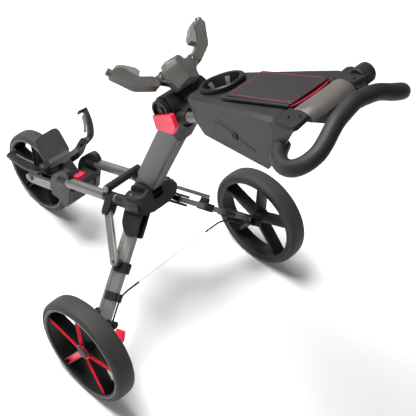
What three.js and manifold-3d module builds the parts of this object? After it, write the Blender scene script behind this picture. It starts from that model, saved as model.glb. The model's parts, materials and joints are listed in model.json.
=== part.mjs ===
// Three-wheel folding golf push cart, in millimetres.
// +X is the cart's right side, +Y points to the front wheel and +Z is up.
// The design frame below has its origin on the ground under the rear axle line.

import * as THREE from 'three';
import { mergeVertices } from 'three/addons/utils/BufferGeometryUtils.js';
import Module from 'manifold-3d';

const wasm = await Module();
wasm.setup();

// ---------------------------------------------------------------- driving dimensions

const GAP = 0.3;

const REAR_RADIUS = 145;
const REAR_HALF_WIDTH = 27.5;
const REAR_RIM_RADIUS = 118;
const HALF_TRACK = 319.4;
const FRONT_RADIUS = 125;
const FRONT_HALF_WIDTH = 25;
const FRONT_RIM_RADIUS = 100;
const WHEELBASE = 557;
const AXLE_RADIUS = 6;
const SPOKE_COUNT = 5;
const SPOKE_PHASE = 12;
const WHEEL_SIDES = 24;

const RAIL_SPREAD = 52;
const RAIL_RADIUS = 11;
const RAIL_START = -18;
const RAIL_END = 300;
const RUNNER_PLACE = 92;

const LEG_HALF_WIDTH = 15;
const LEG_HALF_THICK = 7;
const LEG_PIVOT = [10, 0];
const LEG_END = [262, 0];
const LINK_PIVOT = [-22, 24];
const LINK_END = [230, 24];
const STRUT_FRONT = [-20, 82];
const STRUT_REAR = [100, 2];
const STRUT_LOW = 22;
const STRUT_HIGH = 32;

const STEM_HALF_WIDTH = 19.5;
const STEM_DEPTH = 31;
const STEM_FOOT_HALF_WIDTH = 14.5;
const STEM_FOOT_DEPTH = 25;
const STEM_FOOT_TOP = 52;
const STEM_TOP = 330;

const BARREL_RADIUS = 29;
const BARREL_HALF_LENGTH = 66;

const GRIP_RADIUS = 16.5;
const LOWER_PIVOT = [80, -4];
const UPPER_PIVOT = [48, -1];
const TUBE_PLACE = [38, -25];
const TUBE_RADIUS = 11.8;
const SOCKET_RADIUS = 14.2;
const KNUCKLE_INNER = 16;
const LEVER_OUTER = -67;
const LEVER_INNER = -53;
const LEVER_BORE_RADIUS = 7;

// The model's box is centred on the origin in Y once this much is added.
const ORIGIN_SHIFT = -136.25;

// ---------------------------------------------------------------- materials

function finish(color, roughness, metalness) {
  return new THREE.MeshStandardMaterial({ color, roughness, metalness });
}

const charcoal = finish(0x323231, 0.6, 0);
const blackPlastic = finish(0x222222, 0.6, 0);
const greyAlloy = finish(0x70706f, 0.4, 0.8);
const silverAlloy = finish(0x8e8e8a, 0.35, 0.8);
const foamTyre = finish(0x4a4a48, 0.9, 0);
const redPlastic = finish(0xfa1e40, 0.4, 0);
const greyRubber = finish(0xb8b8b2, 0.8, 0);
const blackFoam = finish(0x30302e, 0.9, 0);
const steel = finish(0xb0b0b0, 0.3, 1);

// ---------------------------------------------------------------- geometry helpers

function vec(x, y, z) {
  return new THREE.Vector3(x, y, z);
}

function signedVolume(geometry) {
  const place = geometry.attributes.position;
  const index = geometry.index;
  let total = 0;
  const a = vec(0, 0, 0);
  const b = vec(0, 0, 0);
  const c = vec(0, 0, 0);
  for (let i = 0; i < index.count; i += 3) {
    a.fromBufferAttribute(place, index.getX(i));
    b.fromBufferAttribute(place, index.getX(i + 1));
    c.fromBufferAttribute(place, index.getX(i + 2));
    total += a.dot(b.cross(c)) / 6;
  }
  return total;
}

function turnInsideOut(geometry) {
  const index = geometry.index.array;
  for (let i = 0; i < index.length; i += 3) {
    const first = index[i];
    index[i] = index[i + 1];
    index[i + 1] = first;
  }
}

// Keeps positions only, merges shared corners and makes the faces point outwards.
function clean(geometry) {
  const bare = geometry.clone();
  bare.deleteAttribute('normal');
  bare.deleteAttribute('uv');
  const merged = mergeVertices(bare, 1e-3);
  if (signedVolume(merged) < 0) turnInsideOut(merged);
  return merged;
}

function toSolid(geometry) {
  const merged = clean(geometry);
  const mesh = new wasm.Mesh({
    numProp: 3,
    vertProperties: Float32Array.from(merged.attributes.position.array),
    triVerts: Uint32Array.from(merged.index.array),
  });
  mesh.merge();
  return new wasm.Manifold(mesh);
}

function toGeometry(manifold) {
  const mesh = manifold.getMesh();
  const geometry = new THREE.BufferGeometry();
  geometry.setAttribute('position', new THREE.BufferAttribute(Float32Array.from(mesh.vertProperties), 3));
  geometry.setIndex(new THREE.BufferAttribute(Uint32Array.from(mesh.triVerts), 1));
  return geometry;
}

function join(...geometries) {
  return toGeometry(geometries.map(toSolid).reduce((whole, next) => whole.add(next)));
}

function cut(geometry, ...tools) {
  return toGeometry(tools.map(toSolid).reduce((whole, tool) => whole.subtract(tool), toSolid(geometry)));
}

function meet(first, second) {
  return toGeometry(toSolid(first).intersect(toSolid(second)));
}

function mirrored(geometry, axis) {
  const scale = vec(axis === 'x' ? -1 : 1, axis === 'y' ? -1 : 1, axis === 'z' ? -1 : 1);
  return clean(geometry.clone().scale(scale.x, scale.y, scale.z));
}

// An outline from corners [x, y, radius]; a corner without a radius stays sharp.
function outline(corners) {
  const shape = new THREE.Shape();
  corners.forEach((corner, i) => {
    const here = new THREE.Vector2(corner[0], corner[1]);
    const before = corners[(i + corners.length - 1) % corners.length];
    const after = corners[(i + 1) % corners.length];
    const radius = corner[2] || 0;
    const toBefore = new THREE.Vector2(before[0], before[1]).sub(here);
    const toAfter = new THREE.Vector2(after[0], after[1]).sub(here);
    const reach = Math.min(radius, toBefore.length() * 0.49, toAfter.length() * 0.49);
    const enter = here.clone().add(toBefore.setLength(reach));
    const leave = here.clone().add(toAfter.setLength(reach));
    if (i === 0) shape.moveTo(enter.x, enter.y);
    else shape.lineTo(enter.x, enter.y);
    if (reach > 0) shape.quadraticCurveTo(here.x, here.y, leave.x, leave.y);
  });
  shape.closePath();
  return shape;
}

// A round-ended bar outline between two points.
function stadium(from, to, radius) {
  const along = Math.atan2(to[1] - from[1], to[0] - from[0]);
  const shape = new THREE.Shape();
  shape.absarc(from[0], from[1], radius, along + Math.PI / 2, along + Math.PI * 1.5, false);
  shape.absarc(to[0], to[1], radius, along - Math.PI / 2, along + Math.PI / 2, false);
  shape.closePath();
  return shape;
}

function asShape(corners) {
  return Array.isArray(corners) ? outline(corners) : corners;
}

// A slab with its outline in XY, from low to high along Z.
function slabXY(corners, low, high) {
  const options = { depth: high - low, bevelEnabled: false, curveSegments: 2 };
  return new THREE.ExtrudeGeometry(asShape(corners), options).translate(0, 0, low);
}

// A slab with its outline in YZ, from low to high along X.
function slabYZ(corners, low, high) {
  const turn = new THREE.Matrix4().makeBasis(vec(0, 1, 0), vec(0, 0, 1), vec(1, 0, 0));
  return slabXY(corners, low, high).applyMatrix4(turn);
}

// A slab with its outline in XZ, from low to high along Y.
function slabXZ(corners, low, high) {
  const turn = new THREE.Matrix4().makeBasis(vec(1, 0, 0), vec(0, 0, 1), vec(0, -1, 0));
  return slabXY(corners, -high, -low).applyMatrix4(turn);
}

function block(x, y, z) {
  const size = [x[1] - x[0], y[1] - y[0], z[1] - z[0]];
  const box = new THREE.BoxGeometry(size[0], size[1], size[2]);
  return box.translate((x[0] + x[1]) / 2, (y[0] + y[1]) / 2, (z[0] + z[1]) / 2);
}

function rod(from, to, radius, sides = 16) {
  const start = vec(...from);
  const along = vec(...to).sub(start);
  const length = along.length();
  const cylinder = new THREE.CylinderGeometry(radius, radius, length, sides);
  const turn = new THREE.Quaternion().setFromUnitVectors(vec(0, 1, 0), along.normalize());
  return cylinder.translate(0, length / 2, 0).applyQuaternion(turn).translate(start.x, start.y, start.z);
}

// A solid of revolution about X from corners [radius, x].
function turned(corners, segments = 32) {
  const profile = corners.map(([radius, x]) => new THREE.Vector2(radius, x));
  if (corners[0][0] > 0) profile.push(profile[0].clone());
  return new THREE.LatheGeometry(profile, segments).rotateZ(-Math.PI / 2);
}

function circle(radius, sides) {
  const shape = new THREE.Shape();
  for (let i = 0; i < sides; i += 1) {
    const angle = (i / sides) * Math.PI * 2;
    const x = radius * Math.cos(angle);
    const y = radius * Math.sin(angle);
    if (i === 0) shape.moveTo(x, y);
    else shape.lineTo(x, y);
  }
  shape.closePath();
  return shape;
}

function tube(points, radius, steps, sides = 10) {
  const curve = new THREE.CatmullRomCurve3(points.map((point) => vec(...point)), false, 'centripetal');
  return new THREE.ExtrudeGeometry(circle(radius, sides), { steps, extrudePath: curve, bevelEnabled: false });
}

// A closed skin through equal rings of points, from the first ring to the last.
function loft(rings) {
  const count = rings[0].length;
  const places = rings.flat(2);
  const index = [];
  for (let ring = 0; ring + 1 < rings.length; ring += 1) {
    for (let i = 0; i < count; i += 1) {
      const a = ring * count + i;
      const b = ring * count + ((i + 1) % count);
      index.push(a, b, b + count, a, b + count, a + count);
    }
  }
  const last = (rings.length - 1) * count;
  for (let i = 1; i + 1 < count; i += 1) {
    index.push(0, i + 1, i);
    index.push(last, last + i, last + i + 1);
  }
  const geometry = new THREE.BufferGeometry();
  geometry.setAttribute('position', new THREE.Float32BufferAttribute(places, 3));
  geometry.setIndex(index);
  return geometry;
}

// ---------------------------------------------------------------- frames

function frameGroup(origin, xAxis, yAxis) {
  const x = vec(...xAxis).normalize();
  const z = x.clone().cross(vec(...yAxis)).normalize();
  const y = z.clone().cross(x);
  const group = new THREE.Group();
  group.position.set(...origin);
  group.quaternion.setFromRotationMatrix(new THREE.Matrix4().makeBasis(x, y, z));
  group.updateMatrix();
  return group;
}

const cart = new THREE.Group();
cart.position.y = ORIGIN_SHIFT;

// Rails run forward and down: X across the cart, Y along the rails, Z above them.
const railFrame = frameGroup([0, 121, 367.4], [1, 0, 0], [0, 0.912, -0.41]);
// Stem: X across, Z along the stem from its pivot, Y in front of it.
const stemFrame = frameGroup([0, 139.7, 376.3], [1, 0, 0], [0, 0.9499, 0.3126]);
// Upper bag bracket: X across, Y forward along the bag arms.
const bracketFrame = frameGroup([0, 60.1, 807.2], [1, 0, 0], [0, 0.885, 0.465]);
// Lower cradle arms: X across, Y forward along the arms.
const cradleFrame = frameGroup([0, 453, 272], [1, 0, 0], [0, 0.885, 0.465]);
// Handle: X across, Y above the console, Z from the hinge barrel to the grip.
const handleFrame = frameGroup([0, 40, 739], [1, 0, 0], [0, 0.53, 0.848]);

// Legs: X down the leg, Y to the side that the leg folds to. Z is above the right leg
// and below the left leg, so the left leg's pieces are mirrored in Z.
const legFrames = {
  right: frameGroup([72, 98.6, 321.6], [0.737, -0.352, -0.577], [0.0624, 0.8844, -0.4598]),
  left: frameGroup([-72, 98.6, 321.6], [-0.737, -0.352, -0.577], [-0.0624, 0.8844, -0.4598]),
};

const wheelFrames = {
  rear_right: frameGroup([HALF_TRACK, 0, REAR_RADIUS], [1, 0, 0], [0, 1, 0]),
  rear_left: frameGroup([-HALF_TRACK, 0, REAR_RADIUS], [1, 0, 0], [0, 1, 0]),
  front: frameGroup([0, WHEELBASE, FRONT_RADIUS], [1, 0, 0], [0, 1, 0]),
};

cart.add(railFrame, stemFrame, bracketFrame, cradleFrame, handleFrame);
cart.add(legFrames.right, legFrames.left);
cart.add(wheelFrames.rear_right, wheelFrames.rear_left, wheelFrames.front);

function addPart(group, name, geometry, material) {
  const mesh = new THREE.Mesh(clean(geometry), material);
  mesh.name = name;
  group.add(mesh);
}

function placed(geometry, frame) {
  return geometry.clone().applyMatrix4(frame.matrix);
}

function bothSides(geometry) {
  return join(geometry, mirrored(geometry, 'x'));
}

// ---------------------------------------------------------------- wheels

function tyreShape(radius, halfWidth, rimRadius) {
  return turned([
    [rimRadius, halfWidth - 2.5],
    [rimRadius + 4, halfWidth - 0.5],
    [radius - 11, halfWidth - 0.5],
    [radius - 4, halfWidth - 4],
    [radius - 0.8, halfWidth - 11],
    [radius, 0],
    [radius - 0.8, 11 - halfWidth],
    [radius - 4, 4 - halfWidth],
    [radius - 11, 0.5 - halfWidth],
    [rimRadius + 4, 0.5 - halfWidth],
    [rimRadius, 2.5 - halfWidth],
  ], WHEEL_SIDES);
}

function aroundHub(geometry) {
  return Array.from({ length: SPOKE_COUNT }, (_, i) => (
    geometry.clone().rotateX(THREE.MathUtils.degToRad(SPOKE_PHASE + (i * 360) / SPOKE_COUNT))
  ));
}

// Outlines in (Y, X) of the wheel: Y is the distance from the hub, X points outwards.
function radialSlab(corners, halfWidth) {
  const turn = new THREE.Matrix4().makeBasis(vec(0, 1, 0), vec(1, 0, 0), vec(0, 0, -1));
  return slabXY(corners, -halfWidth, halfWidth).applyMatrix4(turn);
}

function rimShape(halfWidth, rimRadius, boreRadius) {
  const outer = rimRadius - 0.4;
  const inner = rimRadius - 6.5;
  const barrel = turned([
    [inner + 2, -halfWidth + 2],
    [outer, -halfWidth + 2],
    [outer, halfWidth - 1],
    [inner, halfWidth - 1],
    [inner, halfWidth - 6],
    [inner + 2, halfWidth - 10],
  ], WHEEL_SIDES);
  const hub = turned([[boreRadius, -18], [21, -18], [21, 12.5], [boreRadius, 12.5]], 20);
  const spoke = radialSlab([[18, -8], [inner + 3, 0], [inner + 3, halfWidth - 3.5], [18, 17.5]], 9);
  const groove = radialSlab(
    [[0, 12.5], [21, 12.5], [inner - 0.5, halfWidth - 8.5], [inner - 0.5, 60], [0, 60]], 6.5,
  );
  return cut(join(barrel, hub, ...aroundHub(spoke)), ...aroundHub(groove));
}

function insertShape(halfWidth, rimRadius) {
  const end = rimRadius - 7.4;
  const disc = turned([[6.6, 12.8], [16.5, 12.8], [16.5, 16], [6.6, 16]], 20);
  const strip = radialSlab(
    [[8, 12.8], [21, 12.8], [end, halfWidth - 8.2], [end, halfWidth - 5], [21, 16], [8, 16]], 6.2,
  );
  return join(disc, ...aroundHub(strip));
}

const hubCap = turned([[0, 16.3], [17.4, 16.3], [17.4, 18.5], [14, 20.4], [0, 21.2]], 20);
const boreRadius = AXLE_RADIUS + GAP;

for (const side of ['right', 'left']) {
  const turn = (geometry) => (side === 'right' ? geometry : mirrored(geometry, 'x'));
  const group = wheelFrames[`rear_${side}`];
  addPart(group, `rear_tyre_${side}`, tyreShape(REAR_RADIUS, REAR_HALF_WIDTH, REAR_RIM_RADIUS), foamTyre);
  addPart(group, `rear_rim_${side}`, turn(rimShape(REAR_HALF_WIDTH, REAR_RIM_RADIUS, boreRadius)), blackPlastic);
  addPart(group, `spoke_insert_${side}`, turn(insertShape(REAR_HALF_WIDTH, REAR_RIM_RADIUS)), redPlastic);
  addPart(group, `hub_cap_${side}`, turn(hubCap), charcoal);
  addPart(group, `rear_axle_${side}`, turn(rod([-28.5, 0, 0], [11.5, 0, 0], AXLE_RADIUS, 12)), steel);
}

addPart(wheelFrames.front, 'front_tyre', tyreShape(FRONT_RADIUS, FRONT_HALF_WIDTH, FRONT_RIM_RADIUS), foamTyre);
addPart(
  wheelFrames.front, 'front_rim',
  mirrored(rimShape(FRONT_HALF_WIDTH, FRONT_RIM_RADIUS, boreRadius), 'x'), blackPlastic,
);
addPart(
  wheelFrames.front, 'front_spoke_insert',
  mirrored(insertShape(FRONT_HALF_WIDTH, FRONT_RIM_RADIUS), 'x'), redPlastic,
);
addPart(
  wheelFrames.front, 'front_axle',
  join(
    rod([-45, 0, 0], [45, 0, 0], AXLE_RADIUS, 12),
    rod([-47, 0, 0], [-42.3, 0, 0], 10, 12),
    rod([42.3, 0, 0], [47, 0, 0], 10, 12),
  ), steel,
);

// ---------------------------------------------------------------- hub and rails

const railBoreRadius = RAIL_RADIUS + GAP;

function railRod(x, from, to, radius, sides = 16) {
  return rod([x, from, 0], [x, to, 0], radius, sides);
}

const earOutline = [[-62, -24], [25, -26, 5], [26, 8, 6], [17, 21, 5], [-4, 36, 6], [-34, 41, 6], [-62, 38]];
const legBlockOutline = [[-66, -24], [-33, -24], [-33, 12], [-36, 38], [-66, 38]];

function pinAt(point, reach, radius) {
  return rod([point[0], point[1], -reach], [point[0], point[1], reach], radius, 12);
}

function hubShape() {
  const deck = slabXY([[-66, -28, 6], [66, -28, 6], [66, 30, 6], [-66, 30, 6]], -14, 14);
  const shield = slabXZ([
    [-58, 18, 6], [-61, 0, 6], [-56, -14, 6], [-30, -25, 8], [30, -25, 8], [56, -14, 6], [61, 0, 6],
    [58, 18, 6], [26, 36, 8], [16, 36, 3], [16, 4, 2], [-16, 4, 2], [-16, 36, 3], [-26, 36, 8],
  ], -37, -26);
  const cheek = slabYZ([[-26, 4], [-26, 36, 6], [-8, 42, 10], [18, 42, 14], [40, 26, 14], [40, 4]], 15.2, 25);
  const sleeve = railRod(RAIL_SPREAD, -30, 62, 16);
  const ears = join(
    slabXY(earOutline, 8, 14),
    slabXY(earOutline, -14, -8),
    slabXY(legBlockOutline, -14, 14),
    pinAt(LEG_PIVOT, 10, 4),
    pinAt(LINK_PIVOT, 10, 3),
  );
  const railPieces = placed(join(deck, shield, bothSides(cheek), bothSides(sleeve)), railFrame);
  const rightEars = placed(ears, legFrames.right);
  const body = join(railPieces, bothSides(rightEars));
  const bores = [1, -1].map((side) => railRod(side * RAIL_SPREAD, RAIL_START - GAP, 80, railBoreRadius));
  const slot = block([-15, 15], [-18, 60], [-13, 60]);
  const knuckleRoom = rod([-15, 0, 0], [15, 0, 0], STEM_FOOT_DEPTH + 1, 24);
  const pinBore = rod([-40, 0, 0], [26, 0, 0], 6.3, 12);
  return cut(
    body,
    ...bores.map((bore) => placed(bore, railFrame)),
    placed(slot, railFrame),
    placed(knuckleRoom, stemFrame),
    placed(block([-15, 15], [-STEM_FOOT_DEPTH - GAP, 40], [0, 80]), stemFrame),
    placed(pinBore, stemFrame),
  );
}

addPart(cart, 'hub_casting', hubShape(), blackPlastic);

const railPipe = cut(
  railRod(RAIL_SPREAD, RAIL_START, RAIL_END, RAIL_RADIUS),
  railRod(RAIL_SPREAD, RAIL_START - 1, RAIL_END + 1, RAIL_RADIUS - 1.8, 12),
);
addPart(railFrame, 'rail_right', railPipe, greyAlloy);
addPart(railFrame, 'rail_left', mirrored(railPipe, 'x'), greyAlloy);

addPart(stemFrame, 'stem_pivot_pin', rod([-25, 0, 0], [25, 0, 0], 6, 12), steel);

// ---------------------------------------------------------------- runner

const strutEar = [[-50, 96], [-52, 71], [-22, 69, 6], [-9, 74, 8], [-7, 90, 8], [-20, 95, 6]];

function runnerShape() {
  const crossbar = rod([-56, RUNNER_PLACE + 6, 25], [56, RUNNER_PLACE + 6, 25], 11);
  const saddle = railRod(RAIL_SPREAD, RUNNER_PLACE - 20, RUNNER_PLACE + 20, 15.5);
  const ears = join(
    slabXY(strutEar, STRUT_LOW - 7.5, STRUT_LOW - GAP),
    slabXY(strutEar, STRUT_HIGH + GAP, STRUT_HIGH + 6.5),
    rod([...STRUT_FRONT, STRUT_LOW - 3], [...STRUT_FRONT, STRUT_HIGH + 3], 3.5, 12),
  );
  const bore = railRod(RAIL_SPREAD, RUNNER_PLACE - 40, RUNNER_PLACE + 40, railBoreRadius);
  const body = join(placed(bothSides(saddle), railFrame), placed(crossbar, railFrame));
  return cut(
    join(body, bothSides(placed(ears, legFrames.right))),
    placed(bore, railFrame),
    placed(mirrored(bore, 'x'), railFrame),
  );
}

addPart(cart, 'runner', runnerShape(), blackPlastic);

// ---------------------------------------------------------------- legs, links and struts

const legTube = cut(
  slabXY(stadium(LEG_PIVOT, LEG_END, LEG_HALF_WIDTH), -LEG_HALF_THICK, LEG_HALF_THICK),
  block([-40, 300], [-LEG_HALF_WIDTH + 2.5, LEG_HALF_WIDTH - 2.5], [-LEG_HALF_THICK + 2.2, LEG_HALF_THICK - 2.2]),
  pinAt(LEG_PIVOT, 20, 4.3),
  pinAt(LEG_END, 20, 4.3),
);

const linkBar = cut(
  slabXY(stadium(LINK_PIVOT, LINK_END, 6), -6, 6),
  pinAt(LINK_PIVOT, 20, 3.3),
  pinAt(LINK_END, 20, 3.3),
);

const strutBar = cut(
  slabXY(stadium(STRUT_FRONT, STRUT_REAR, 10), STRUT_LOW, STRUT_HIGH),
  rod([...STRUT_FRONT, STRUT_LOW - 5], [...STRUT_FRONT, STRUT_HIGH + 5], 3.8, 12),
  rod([...STRUT_REAR, STRUT_LOW - 5], [...STRUT_REAR, STRUT_HIGH + 5], 3.8, 12),
);

const tubeRoom = block(
  [80, 200],
  [-LEG_HALF_WIDTH - GAP, LEG_HALF_WIDTH + GAP],
  [-LEG_HALF_THICK - GAP, LEG_HALF_THICK + GAP],
);

const legCollar = cut(
  join(
    slabXY([[92, -21, 4], [120, -21, 4], [120, 17.5, 2], [92, 17.5, 2]], -10.5, 10.5),
    rod([...STRUT_REAR, 9], [...STRUT_REAR, STRUT_LOW - GAP], 12.5),
  ),
  tubeRoom,
);

const cableClamp = cut(
  join(
    slabXY([[170, -21, 3], [191, -21, 3], [191, 17.5, 2], [170, 17.5, 2]], -10.5, 10.5),
    rod([170, -24, 0], [191, -24, 0], 8),
  ),
  tubeRoom,
  rod([150, -26, 0], [200, -26, 0], 3, 12),
);

const carrierOutline = [
  [214, 26, 6], [222, 36, 8], [244, 36, 8], [288, 24, 6], [297, 6, 4], [299, -30, 6], [286, -34, 6],
  [262, -22, 8], [250, -38, 6], [236, -36, 6], [240, 0, 10], [230, 16, 6],
];

function carrierShape() {
  const plates = join(
    slabXY(carrierOutline, LEG_HALF_THICK + 0.5, 12.5),
    slabXY(carrierOutline, -12.5, -LEG_HALF_THICK - 0.5),
    slabXY([[281, -14, 2], [297, -14, 2], [296, 16, 4], [281, 24, 2]], -12.5, 12.5),
    pinAt(LEG_END, 10, 4),
    pinAt(LINK_END, 10, 3),
    pinAt([292, -25], 10, 3),
  );
  const boss = rod([-34, 0, 0], [-18.6, 0, 0], 13);
  const bore = rod([-29, 0, 0], [0, 0, 0], AXLE_RADIUS + GAP, 12);
  return cut(
    join(placed(plates, legFrames.right), placed(boss, wheelFrames.rear_right)),
    placed(bore, wheelFrames.rear_right),
  );
}

const brakePedal = cut(
  slabXY([
    [285, -20, 4], [299, -19, 5], [301, -32, 5], [284, -66, 4], [276, -80, 5], [250, -74, 5], [250, -56, 4],
    [266, -50, 4],
  ], -6.8, 6.8),
  pinAt([292, -25], 20, 3.3),
);

const sleevePath = [
  [122.6, 28, 208], [140, 28, 208], [160, 27.8, 208], [178, 26.5, 206.5], [196, 20.5, 202.5],
  [212, 12.5, 195], [226, 5.5, 185.5], [242, -2, 173],
];

for (const side of ['right', 'left']) {
  const group = legFrames[side];
  const turn = (geometry) => (side === 'right' ? geometry : mirrored(geometry, 'z'));
  const across = (geometry) => (side === 'right' ? geometry : mirrored(geometry, 'x'));
  addPart(group, `leg_tube_${side}`, turn(legTube), silverAlloy);
  addPart(group, `link_bar_${side}`, turn(linkBar), silverAlloy);
  addPart(group, `strut_${side}`, turn(strutBar), silverAlloy);
  addPart(group, `leg_collar_${side}`, turn(legCollar), blackPlastic);
  addPart(group, `cable_clamp_${side}`, turn(cableClamp), blackPlastic);
  addPart(cart, `wheel_carrier_${side}`, across(carrierShape()), blackPlastic);
  addPart(cart, `brake_sleeve_${side}`, across(tube(sleevePath, 2.4, 16, 8)), blackPlastic);
}

addPart(legFrames.left, 'brake_pedal', mirrored(brakePedal, 'z'), redPlastic);
addPart(cart, 'brake_wire', rod([-122.2, 28, 208], [122.2, 28, 208], 0.9, 6), steel);

// ---------------------------------------------------------------- front housing and fork

function housingShape() {
  const collar = railRod(RAIL_SPREAD, 277, 312, 15.5);
  const deck = block([-50, 50], [278, 330], [-34, -17]);
  const sidePlate = slabYZ([
    [364, 278, 6], [366, 240, 6], [370, 205], [374, 160, 8], [392, 148, 8], [415, 163, 8], [440, 158, 6],
    [448, 185, 6], [444, 215, 8], [434, 240, 8], [416, 262, 8], [392, 288, 6], [376, 290, 6],
  ], 42, 58);
  const web = block([-44, 44], [376, 392], [160, 220]);
  const post = slabYZ([[398, 222], [404, 200], [462, 222], [470, 248], [440, 250]], -13, 13);
  const body = join(
    placed(join(bothSides(collar), deck), railFrame),
    bothSides(sidePlate),
    web,
  );
  const bores = [1, -1].map((side) => railRod(side * RAIL_SPREAD, 250, RAIL_END + GAP, railBoreRadius));
  const recess = block([-15.5, 15.5], [289, 313], [-26, 0]);
  return cut(
    join(body, meet(post, block([-20, 20], [380, 446], [190, 260]))),
    ...bores.map((bore) => placed(bore, railFrame)),
    placed(recess, railFrame),
  );
}

addPart(cart, 'front_housing', housingShape(), charcoal);
addPart(railFrame, 'latch_button', slabXY(
  [[-14, 291, 3], [14, 291, 3], [14, 311, 3], [-14, 311, 3]], -22, -10,
), redPlastic);

const forkArm = cut(
  slabYZ([
    [434, 190, 3], [445, 186, 3], [500, 160], [560, 133, 6], [578, 124, 6], [580, 106, 6], [560, 103, 6],
    [500, 128], [447, 152, 3], [434, 160, 3],
  ], 31, 41.6),
  rod([20, WHEELBASE, FRONT_RADIUS], [60, WHEELBASE, FRONT_RADIUS], AXLE_RADIUS + GAP, 12),
);
addPart(cart, 'fork_arm_right', forkArm, silverAlloy);
addPart(cart, 'fork_arm_left', mirrored(forkArm, 'x'), silverAlloy);

// ---------------------------------------------------------------- lower bag cradle

const cradleBar = slabXZ([
  [-80, 264, 4], [-74, 280, 4], [-66, 270, 6], [-48, 250, 8], [0, 246], [48, 250, 8], [66, 270, 6], [74, 280, 4],
  [80, 264, 4], [64, 232, 8], [40, 224, 8], [-40, 224, 8], [-64, 232, 8],
], 446.5, 464);
const cradleForks = bothSides(join(
  cut(
    slabXY(stadium([66, -4], LOWER_PIVOT, 9), -8.5, 8.5),
    block([68, 120], [-30, 30], [-4.3, 4.3]),
  ),
  rod([...LOWER_PIVOT, -7], [...LOWER_PIVOT, 7], 3, 12),
));
const forkRoom = cut(
  block([68, 120], [-30, 30], [-4.3, 4.3]),
  rod([...LOWER_PIVOT, -7], [...LOWER_PIVOT, 7], 3, 12),
);
addPart(cart, 'cradle_base', cut(
  join(cradleBar, placed(cradleForks, cradleFrame)),
  placed(forkRoom, cradleFrame),
  placed(mirrored(forkRoom, 'x'), cradleFrame),
), charcoal);

const plateFrame = frameGroup([0, 482, 235], [1, 0, 0], [0, 0.707, 0.707]);
cart.add(plateFrame);
const basePlate = slabXY([[-43, -2, 8], [43, -2, 8], [43, 74, 16], [-43, 74, 16]], 0, 5);
const plateFoot = slabYZ([[464.3, 226], [482, 232], [486, 242], [464.3, 244]], -34, 34);
addPart(cart, 'bag_base_plate', join(placed(basePlate, plateFrame), plateFoot), charcoal);

const lowerArm = cut(
  join(
    slabXY([
      [90, -13, 3], [104, 6, 8], [118, 25, 8], [130, 46, 6], [139, 66, 3], [139, 76, 3],
      [110, 78, 3], [109, 71, 3], [122, 66, 3], [113, 48, 6], [100, 28, 8], [90, 12, 3],
    ], -8, 8),
    slabXY(stadium(LOWER_PIVOT, [97, -1], 8.2), -4, 4),
  ),
  rod([...LOWER_PIVOT, -9], [...LOWER_PIVOT, 9], 3.3, 12),
);
const lowerPad = slabXY([
  [119, 61], [111.6, 46.6, 4], [99.2, 28, 4], [92.6, 17.6], [89.6, 19.4], [96.4, 29.8, 4], [108.6, 48.2, 4],
  [115.6, 62],
], -6, 6);
addPart(cradleFrame, 'lower_arm_right', lowerArm, charcoal);
addPart(cradleFrame, 'lower_arm_left', mirrored(lowerArm, 'x'), charcoal);
addPart(cradleFrame, 'lower_pad_right', lowerPad, greyRubber);
addPart(cradleFrame, 'lower_pad_left', mirrored(lowerPad, 'x'), greyRubber);

// ---------------------------------------------------------------- stem, barrel and bag bracket

const stemOutline = [
  [-STEM_HALF_WIDTH, -STEM_DEPTH, 9], [STEM_HALF_WIDTH, -STEM_DEPTH, 9],
  [STEM_HALF_WIDTH, STEM_DEPTH, 9], [-STEM_HALF_WIDTH, STEM_DEPTH, 9],
];
const stemCore = [
  [-STEM_HALF_WIDTH + 2, -STEM_DEPTH + 2, 7], [STEM_HALF_WIDTH - 2, -STEM_DEPTH + 2, 7],
  [STEM_HALF_WIDTH - 2, STEM_DEPTH - 2, 7], [-STEM_HALF_WIDTH + 2, STEM_DEPTH - 2, 7],
];
const stemKnuckle = join(
  rod([-STEM_FOOT_HALF_WIDTH, 0, 0], [STEM_FOOT_HALF_WIDTH, 0, 0], STEM_FOOT_DEPTH, 24),
  block(
    [-STEM_FOOT_HALF_WIDTH, STEM_FOOT_HALF_WIDTH], [-STEM_FOOT_DEPTH, STEM_FOOT_DEPTH], [0, STEM_FOOT_TOP + 4],
  ),
);
const stemTube = cut(
  join(slabXY(stemOutline, STEM_FOOT_TOP, STEM_TOP), stemKnuckle),
  slabXY(stemCore, STEM_FOOT_TOP + 8, STEM_TOP + 1),
  rod([-40, 0, 0], [40, 0, 0], 6.3, 12),
);
addPart(stemFrame, 'stem_tube', stemTube, greyAlloy);

// The barrel's frame is parallel to the stem's, with its origin on the hinge axis.
const barrelFrame = frameGroup([0, 40, 739], [1, 0, 0], [0, 0.9499, 0.3126]);
cart.add(barrelFrame);

function barrelRod(low, high, radius, sides = 24) {
  return rod([low, 0, 0], [high, 0, 0], radius, sides);
}

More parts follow.
